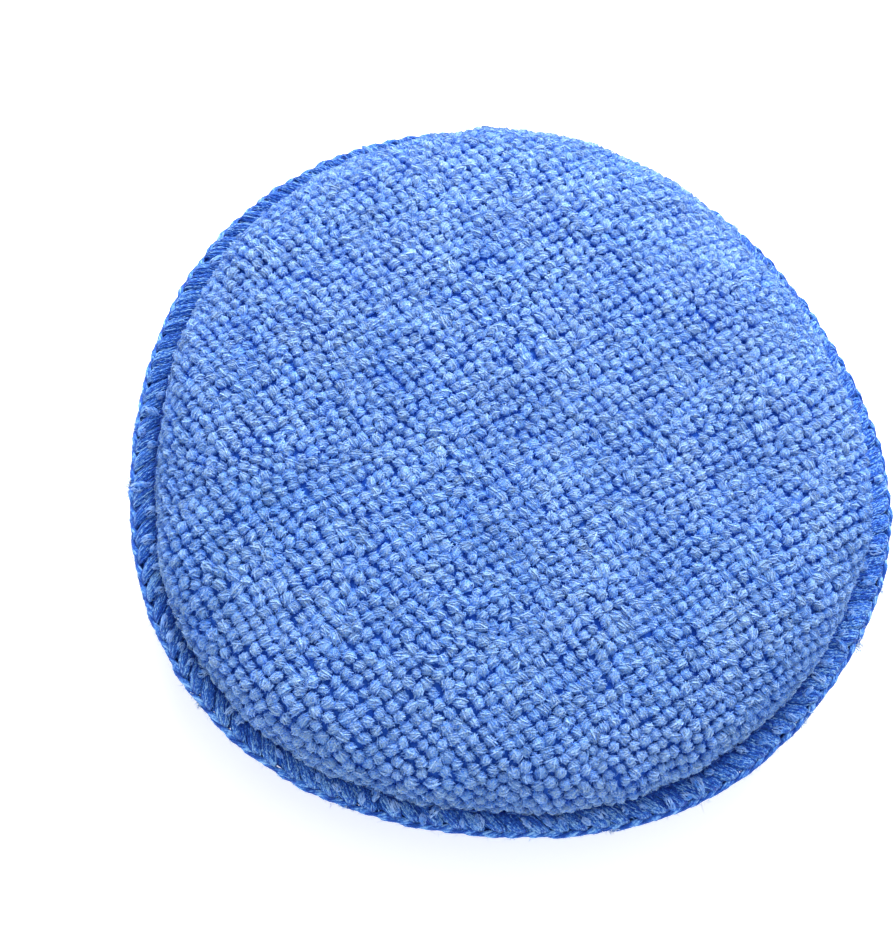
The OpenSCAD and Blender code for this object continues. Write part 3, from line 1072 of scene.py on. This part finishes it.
def needle(side, seed):
    """The needle thread in the crease: a stitch from hole to hole, pulled into the cloth at each."""
    rng = np.random.default_rng(seed)
    fil, steps = 5, 9
    at = np.arange(STITCHES) * PITCH
    t = np.linspace(0, 1, steps)
    across = np.linspace(-1, 1, fil)
    phi = at[:, None, None] + (0.02 + 0.96 * t)[None, None] * PITCH + np.zeros((STITCHES, fil, 1))
    lift = np.sin(math.pi * t) ** 0.5
    w = -0.03 + 0.045 * across[None, :, None] * (0.5 + 0.5 * lift) + rng.normal(0, 0.006, phi.shape)
    h = 0.75 + 1.0 * lift[None, None] + 0.10 * (1 - across[None, :, None] ** 2) + rng.normal(0, 0.02, phi.shape)
    pts = hem_point(phi, w, h, side)
    up = np.zeros_like(pts)
    up[..., 2] = side
    n = STITCHES * fil
    return tubes(
        placed(pts.reshape(n, steps, 3), side), np.full((n, steps), 0.13), 4, up.reshape(n, steps, 3),
        values={"tone": np.broadcast_to(rng.uniform(0, 1, (n, 1)), (n, steps))},
    )


def thread_piece(name, parts, material, node):
    ob = make(name, parts, material, "seam")
    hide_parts(node)
    return ob


for k, (first, last) in enumerate(((0, 61), (61, STITCHES))):
    thread_piece("upper_looper_bands_%d" % k, bands(first, last, +1, 301 + 10 * k), BAND_MAT, "upper_looper_thread")
    thread_piece("lower_looper_bands_%d" % k, bands(first, last, -1, 302 + 10 * k), BAND_MAT, "lower_looper_thread")
thread_piece("upper_looper_chain", chain(+1, 303), CHAIN_MAT, "upper_looper_thread")
thread_piece("lower_looper_chain", chain(-1, 304), CHAIN_MAT, "lower_looper_thread")
thread_piece("needle_thread_stitches", joined(needle(+1, 305), needle(-1, 306)), NEEDLE_MAT, "needle_thread")


def hem_loops(name, side, seed, share):
    """Loops of the hem's own pile that come through between the bands."""
    rng = np.random.default_rng(seed)
    most = np.cos(np.arange(STITCHES) * PITCH - math.radians(-62))
    pick = np.where(rng.random(STITCHES) < share + 0.42 * most)[0]
    w = rng.uniform(0.15, 0.80, len(pick))
    phi = (pick + 0.5 + 0.95 * (w + 0.05) + rng.normal(0, 0.12, len(pick))) * PITCH
    size = rng.uniform(0.48, 0.86, len(pick))
    p = hem_point(phi, w, np.full(len(pick), 1.12), side)
    n = np.tile([[0, 0, 1.0]], (len(pick), 1))
    out = np.stack([np.cos(phi), np.sin(phi), 0 * phi], 1)
    around = np.cross(n, out)
    tall = rng.uniform(0.80, 1.05, len(pick))
    got, _, _ = tufts(
        p, n, out, around, math.radians(40) + rng.normal(0, 0.5, len(pick)), rng, tall, size,
        rng.uniform(0.7, 1.0, len(pick)), side, 14, long=1.6, heart=False,
    )
    ob = make(name, got, HEM_PILE_MAT, "seam", smooth=False)
    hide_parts("front_cover" if side > 0 else "back_cover")


hem_loops("front_hem_loops", +1, 401, 0.50)
hem_loops("back_hem_loops", -1, 402, 0.50)


def stray_fibres(seed):
    """Fine ends that stand off the threads, most of them along the edge."""
    rng = np.random.default_rng(seed)
    c = 1500
    phi = rng.uniform(0, TAU, c)
    turn = rng.uniform(-1.9, 1.9, c)
    r = EDGE_R - 0.75 + edge_out(phi) + 0.72 * np.cos(turn)
    z = seam_up(phi) + 0.80 * np.sin(turn)
    radial = np.stack([np.cos(phi), np.sin(phi), 0 * phi], 1)
    around = np.stack([-np.sin(phi), np.cos(phi), 0 * phi], 1)
    base = np.stack([r * np.cos(phi), r * np.sin(phi), z + SEAM_Z], 1)
    d = radial * np.cos(turn)[:, None] + around * rng.normal(0, 0.9, (c, 1))
    d[:, 2] += np.sin(turn) + rng.normal(0, 0.3, c)
    length = rng.gamma(2.2, 0.22, c).clip(0.15, 1.8)
    width = rng.uniform(0.020, 0.036, c)
    rnd = rng.uniform(0.3, 1, c)
    return spike_parts(base, d, length, width, rng, rnd)


thread_piece("edge_fibres", stray_fibres(501), CHAIN_MAT, "upper_looper_thread")


def lint(seed, spots):
    """Small curls of loose pale fluff caught along the edge: angle in degrees and size in mm."""
    rng = np.random.default_rng(seed)
    paths, k = [], 7
    for deg, big in spots:
        for _ in range(int(12 + 14 * big)):
            phi = math.radians(deg) + rng.normal(0, 0.013)
            r = EDGE_R - 0.35 + float(edge_out(np.array([phi]))[0])
            at = np.array([r * math.cos(phi), r * math.sin(phi), SEAM_Z + float(seam_up(np.array([phi]))[0]) + rng.normal(0, 0.4)])
            way = np.array([math.cos(phi), math.sin(phi), 0.15]) + 0.75 * rng.normal(size=3)
            way /= np.linalg.norm(way)
            path = [at]
            for _ in range(k - 1):
                way = way + 0.75 * rng.normal(size=3)
                way /= np.linalg.norm(way)
                path.append(path[-1] + way * big * 0.27)
            paths.append(path)
    paths = np.array(paths)
    ref = rng.normal(size=paths.shape)
    thick = rng.uniform(0.05, 0.085, (len(paths), 1)) * np.linspace(1, 0.6, k)[None]
    tone = np.broadcast_to(rng.uniform(0.8, 1.0, (len(paths), 1)), (len(paths), k))
    return tubes(paths, thick, 3, ref, values={"tone": tone, "pile_h": np.ones((len(paths), k)), "pile_rnd": tone})


FLUFF = [(1, 1.0), (-9, 1.1), (-24, 0.6), (12, 0.5), (33, 0.5), (206, 0.8), (196, 0.5), (160, 0.5), (-58, 0.5), (-95, 0.4), (100, 0.5), (240, 0.5)]
thread_piece("edge_lint", lint(502, FLUFF), LINT_MAT, "upper_looper_thread")


# ---------------------------------------------------------------- the foam
def foam():
    line = []
    top = FOAM_T / 2
    wide = FOAM_R
    for r in np.arange(0, FLAT_R - 1.2, 3.0):
        line.append((r, top))
    for a in np.linspace(math.pi / 2, 0, 14):
        line.append((
            22.8 + (wide - 22.8) * max(math.cos(a), 0) ** (2 / SHOULDER),
            3.3 + (top - 3.3) * max(math.sin(a), 0) ** (2 / SHOULDER),
        ))
    line.append((wide - 0.9, 1.2))
    half = np.array(line)
    full = np.concatenate([half, half[::-1] * [1, -1]])
    full, _ = even(full, 2.4)
    segs = 120
    phi = np.arange(segs) / segs * TAU
    rings = full[1:-1]
    v = np.empty((len(rings), segs, 3))
    v[..., 0] = rings[:, :1] * np.cos(phi)
    v[..., 1] = rings[:, :1] * np.sin(phi)
    v[..., 2] = rings[:, 1:]
    flatv = v.reshape(-1, 3)
    flatv = flatv * (1 - 0.004 * np.abs(smooth_noise(flatv, 9.0, 61))[:, None])
    verts = np.concatenate([[[0, 0, top]], flatv, [[0, 0, -top]]])
    verts[:, 2] += SEAM_Z
    n = len(rings)
    idx = 1 + np.arange(n * segs).reshape(n, segs)
    nx = np.roll(idx, -1, axis=1)
    quads = np.stack([idx[:-1], idx[1:], nx[1:], nx[:-1]], -1).reshape(-1, 4)
    tris = np.concatenate([
        np.stack([np.zeros(segs, int), idx[0], nx[0]], -1),
        np.stack([np.full(segs, len(verts) - 1), nx[-1], idx[-1]], -1),
    ])
    ob = make("foam_disc", [(verts, quads, {}, {}), (np.zeros((0, 3)), tris - len(verts), {}, {})], FOAM_MAT, "back", soft=True)
    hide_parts("foam_core")


foam()


# ---------------------------------------------------------------- floor and light
def stage():
    me = bpy.data.meshes.new("floor")
    h = 30.0
    me.from_pydata([(-h, -h, 0), (h, -h, 0), (h, h, 0), (-h, h, 0)], [], [(0, 1, 2, 3)])
    me.materials.append(floor_material())
    ob = bpy.data.objects.new("floor", me)
    bpy.context.scene.collection.objects.link(ob)

    def area(name, at, size, power, colour=(1, 1, 1)):
        l = bpy.data.lights.new(name, "AREA")
        l.shape, l.size = "DISK", size
        l.energy, l.color = power, colour
        o = bpy.data.objects.new(name, l)
        bpy.context.scene.collection.objects.link(o)
        o.location = at
        o.rotation_euler = (Vector((0, 0, 0.01)) - Vector(at)).to_track_quat("-Z", "Y").to_euler()

    area("key", (-0.10, 0.60, 0.47), 0.85, 13.9)
    area("fill", (0.45, -0.35, 0.75), 0.8, 0.5)
    world = bpy.data.worlds.new("studio")
    world.use_nodes = True
    world.node_tree.nodes["Background"].inputs["Color"].default_value = (1, 1, 1, 1)
    world.node_tree.nodes["Background"].inputs["Strength"].default_value = 0.87
    bpy.context.scene.world = world
    view = bpy.context.scene.view_settings
    view.view_transform = "Standard"
    view.look = "None"


stage()
